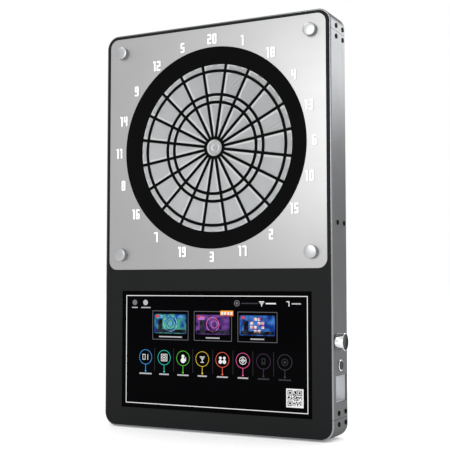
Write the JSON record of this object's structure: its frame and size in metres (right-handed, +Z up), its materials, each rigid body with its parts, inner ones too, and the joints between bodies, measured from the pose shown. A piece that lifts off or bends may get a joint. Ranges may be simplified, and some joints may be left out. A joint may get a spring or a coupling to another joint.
{
  "type": "electronic dartboard",
  "caption": "Wall-hung electronic dartboard: soft-tip target with sprung segments in a metal case, number plate, touch screen, volume knob, power button and side bay.",
  "frame": {"origin": "centre of the four wall-mount holes, on the back face of the case", "axes": "+X to the right seen from the front, +Y from the front into the wall, +Z up"},
  "size_m": [0.6096, 0.1035, 0.9532],
  "materials": {
    "frame_aluminium": "satin grey anodised extrusion",
    "zinc_steel": "zinc plated steel",
    "black_screws": "black zinc",
    "front_panel": "satin black powder coat",
    "number_plate": "brushed and clear anodised",
    "numerals": "white acrylic",
    "thumbscrews": "turned aluminium",
    "catch_ring": "matt black moulding",
    "spider": "satin black nylon",
    "segments": "light grey perforated nylon",
    "bull": "light grey perforated nylon",
    "rubber_mat": "silicone rubber",
    "sensor_film": "printed polyester film",
    "backing_board": "fibreboard",
    "touch_glass": "black-edged toughened glass",
    "display": "display module",
    "main_board": "circuit board",
    "speakers": "moulded speaker box",
    "wiring": "insulated leads",
    "back_cover": "black powder-coated sheet steel",
    "knob_chrome": "polished chrome",
    "knob_cap": "dark moulded disc",
    "volume_control": "plated case",
    "power_button": "dark anodised",
    "side_bay": "grey moulded tray",
    "port_board": "sockets on a circuit board"
  },
  "bodies": {
    "case": {"rail_left": "frame_aluminium", "rail_right": "frame_aluminium", "rail_top": "frame_aluminium", "rail_bottom": "frame_aluminium", "corner_top_left": "frame_aluminium", "corner_top_right": "frame_aluminium", "corner_bottom_left": "frame_aluminium", "corner_bottom_right": "frame_aluminium", "corner_brackets": "zinc_steel", "frame_screws": "black_screws", "crossbar": "zinc_steel", "front_panel": "front_panel", "number_plate": "number_plate", "numerals": "numerals", "thumbscrews": "thumbscrews", "catch_ring": "catch_ring", "spider": "spider", "rubber_mat": "rubber_mat", "sensor_film": "sensor_film", "backing_board": "backing_board", "clamp_screws": "zinc_steel", "touch_glass": "touch_glass", "display": "display", "display_clips": "zinc_steel", "main_board": "main_board", "speakers": "speakers", "wiring": "wiring", "back_cover": "back_cover", "cover_screws": "black_screws", "wall_mount_plate": "zinc_steel", "volume_control": "volume_control", "power_switch": "knob_chrome", "side_bay": "side_bay", "port_board": "port_board"},
    "volume_knob": {"volume_knob": "knob_chrome", "knob_cap": "knob_cap", "volume_shaft": "zinc_steel"},
    "power_button": {"power_button": "power_button"},
    "bed_20": {"segment_20": "segments"},
    "bed_01": {"segment_01": "segments"},
    "bed_18": {"segment_18": "segments"},
    "bed_04": {"segment_04": "segments"},
    "bed_13": {"segment_13": "segments"},
    "bed_06": {"segment_06": "segments"},
    "bed_10": {"segment_10": "segments"},
    "bed_15": {"segment_15": "segments"},
    "bed_02": {"segment_02": "segments"},
    "bed_17": {"segment_17": "segments"},
    "bed_03": {"segment_03": "segments"},
    "bed_19": {"segment_19": "segments"},
    "bed_07": {"segment_07": "segments"},
    "bed_16": {"segment_16": "segments"},
    "bed_08": {"segment_08": "segments"},
    "bed_11": {"segment_11": "segments"},
    "bed_14": {"segment_14": "segments"},
    "bed_09": {"segment_09": "segments"},
    "bed_12": {"segment_12": "segments"},
    "bed_05": {"segment_05": "segments"},
    "bull_outer": {"bull_outer": "bull"},
    "bull_inner": {"bull_inner": "bull"}
  },
  "joints": [
    {"name": "volume_turn", "type": "hinge", "parent": "case", "child": "volume_knob", "pos_m": [0.294, -0.066, -0.2615], "axis": [1, 0, 0], "range_deg": [-150, 150]},
    {"name": "power_press", "type": "slide", "parent": "case", "child": "power_button", "axis": [-1, 0, 0], "range_m": [0, 0.0015], "stiffness_N_per_m": 1200},
    {"name": "segment_20_press", "type": "slide", "parent": "case", "child": "bed_20", "axis": [0, 1, 0], "range_m": [0, 0.0012], "stiffness_N_per_m": 1500},
    {"name": "segment_01_press", "type": "slide", "parent": "case", "child": "bed_01", "axis": [0, 1, 0], "range_m": [0, 0.0012], "stiffness_N_per_m": 1500},
    {"name": "segment_18_press", "type": "slide", "parent": "case", "child": "bed_18", "axis": [0, 1, 0], "range_m": [0, 0.0012], "stiffness_N_per_m": 1500},
    {"name": "segment_04_press", "type": "slide", "parent": "case", "child": "bed_04", "axis": [0, 1, 0], "range_m": [0, 0.0012], "stiffness_N_per_m": 1500},
    {"name": "segment_13_press", "type": "slide", "parent": "case", "child": "bed_13", "axis": [0, 1, 0], "range_m": [0, 0.0012], "stiffness_N_per_m": 1500},
    {"name": "segment_06_press", "type": "slide", "parent": "case", "child": "bed_06", "axis": [0, 1, 0], "range_m": [0, 0.0012], "stiffness_N_per_m": 1500},
    {"name": "segment_10_press", "type": "slide", "parent": "case", "child": "bed_10", "axis": [0, 1, 0], "range_m": [0, 0.0012], "stiffness_N_per_m": 1500},
    {"name": "segment_15_press", "type": "slide", "parent": "case", "child": "bed_15", "axis": [0, 1, 0], "range_m": [0, 0.0012], "stiffness_N_per_m": 1500},
    {"name": "segment_02_press", "type": "slide", "parent": "case", "child": "bed_02", "axis": [0, 1, 0], "range_m": [0, 0.0012], "stiffness_N_per_m": 1500},
    {"name": "segment_17_press", "type": "slide", "parent": "case", "child": "bed_17", "axis": [0, 1, 0], "range_m": [0, 0.0012], "stiffness_N_per_m": 1500},
    {"name": "segment_03_press", "type": "slide", "parent": "case", "child": "bed_03", "axis": [0, 1, 0], "range_m": [0, 0.0012], "stiffness_N_per_m": 1500},
    {"name": "segment_19_press", "type": "slide", "parent": "case", "child": "bed_19", "axis": [0, 1, 0], "range_m": [0, 0.0012], "stiffness_N_per_m": 1500},
    {"name": "segment_07_press", "type": "slide", "parent": "case", "child": "bed_07", "axis": [0, 1, 0], "range_m": [0, 0.0012], "stiffness_N_per_m": 1500},
    {"name": "segment_16_press", "type": "slide", "parent": "case", "child": "bed_16", "axis": [0, 1, 0], "range_m": [0, 0.0012], "stiffness_N_per_m": 1500},
    {"name": "segment_08_press", "type": "slide", "parent": "case", "child": "bed_08", "axis": [0, 1, 0], "range_m": [0, 0.0012], "stiffness_N_per_m": 1500},
    {"name": "segment_11_press", "type": "slide", "parent": "case", "child": "bed_11", "axis": [0, 1, 0], "range_m": [0, 0.0012], "stiffness_N_per_m": 1500},
    {"name": "segment_14_press", "type": "slide", "parent": "case", "child": "bed_14", "axis": [0, 1, 0], "range_m": [0, 0.0012], "stiffness_N_per_m": 1500},
    {"name": "segment_09_press", "type": "slide", "parent": "case", "child": "bed_09", "axis": [0, 1, 0], "range_m": [0, 0.0012], "stiffness_N_per_m": 1500},
    {"name": "segment_12_press", "type": "slide", "parent": "case", "child": "bed_12", "axis": [0, 1, 0], "range_m": [0, 0.0012], "stiffness_N_per_m": 1500},
    {"name": "segment_05_press", "type": "slide", "parent": "case", "child": "bed_05", "axis": [0, 1, 0], "range_m": [0, 0.0012], "stiffness_N_per_m": 1500},
    {"name": "bull_outer_press", "type": "slide", "parent": "case", "child": "bull_outer", "axis": [0, 1, 0], "range_m": [0, 0.0012], "stiffness_N_per_m": 1500},
    {"name": "bull_inner_press", "type": "slide", "parent": "case", "child": "bull_inner", "axis": [0, 1, 0], "range_m": [0, 0.0012], "stiffness_N_per_m": 1500}
  ]
}
